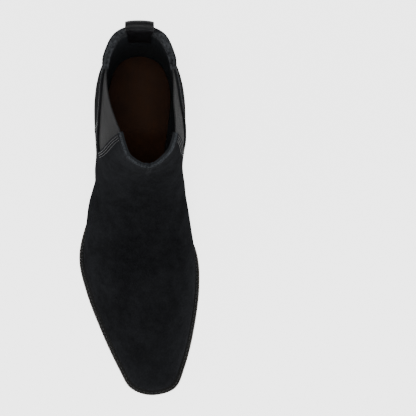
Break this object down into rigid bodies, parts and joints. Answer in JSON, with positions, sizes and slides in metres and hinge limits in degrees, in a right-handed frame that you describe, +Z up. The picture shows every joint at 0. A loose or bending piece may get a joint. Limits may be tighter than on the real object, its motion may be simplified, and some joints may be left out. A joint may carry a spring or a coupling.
{
  "type": "chelsea boot",
  "caption": "Low-heeled ankle boot with elastic side gores, a pull tab at the back of the collar and a welted leather sole.",
  "frame": {"origin": "centre of the boot's footprint box, on the ground under the sole and heel", "axes": "+Y from toe to heel, +X to the inner (big-toe) side of a right foot, +Z up"},
  "size_m": [0.1066, 0.3084, 0.1695],
  "materials": {
    "suede": "napped black suede",
    "elastic": "ribbed grey elastic webbing",
    "smooth_leather": "smooth black leather, soft sheen",
    "stiffener": "black impregnated canvas",
    "lining_leather": "matt grey-black lining leather",
    "sock_leather": "smooth dark brown leather",
    "board": "cellulose insole board",
    "foam": "open foam",
    "cork": "ground cork",
    "steel": "plain steel",
    "brass": "plain brass",
    "heel_rubber": "moulded rubber",
    "sole_leather": "black-dyed sole leather"
  },
  "bodies": {
    "boot": {"vamp": "suede", "gore_lateral": "elastic", "gore_medial": "elastic", "toe_puff": "stiffener", "vamp_interlining": "stiffener", "vamp_lining": "lining_leather", "insole_board": "board", "heel_cushion": "foam", "sock_liner": "sock_leather", "shank": "steel", "filler": "cork", "welt": "sole_leather", "heel_rand": "sole_leather", "outsole": "sole_leather", "top_piece": "heel_rubber", "heel_lift_1": "sole_leather", "heel_lift_2": "sole_leather", "heel_lift_3": "sole_leather", "heel_lift_4": "sole_leather", "shank_rivet_1": "steel", "shank_rivet_2": "steel", "heel_nail_1": "steel", "heel_nail_2": "steel", "heel_nail_3": "steel", "heel_nail_4": "steel", "heel_nail_5": "steel", "top_piece_pin_1": "brass", "top_piece_pin_2": "brass", "top_piece_pin_3": "brass", "top_piece_pin_4": "brass", "top_piece_pin_5": "brass"},
    "shaft_back": {"quarter_lateral": "suede", "quarter_medial": "suede", "heel_counter": "stiffener", "collar_reinforcement": "stiffener", "quarter_lining": "lining_leather", "pull_tab_outer_leg": "smooth_leather", "pull_tab_inner_leg": "smooth_leather"},
    "tab": {"pull_tab": "smooth_leather"}
  },
  "joints": [
    {"name": "throat_open", "type": "hinge", "parent": "boot", "child": "shaft_back", "pos_m": [0, 0.1437, 0.033], "axis": [-1, 0, 0], "range_deg": [0, 6], "stiffness_Nm_per_rad": 10, "deforming": ["gore_lateral", "gore_medial"]},
    {"name": "pull_tab_flex", "type": "hinge", "parent": "shaft_back", "child": "tab", "pos_m": [0, 0.1482, 0.1572], "axis": [1, 0, 0], "range_deg": [-12, 12], "stiffness_Nm_per_rad": 0.02}
  ]
}
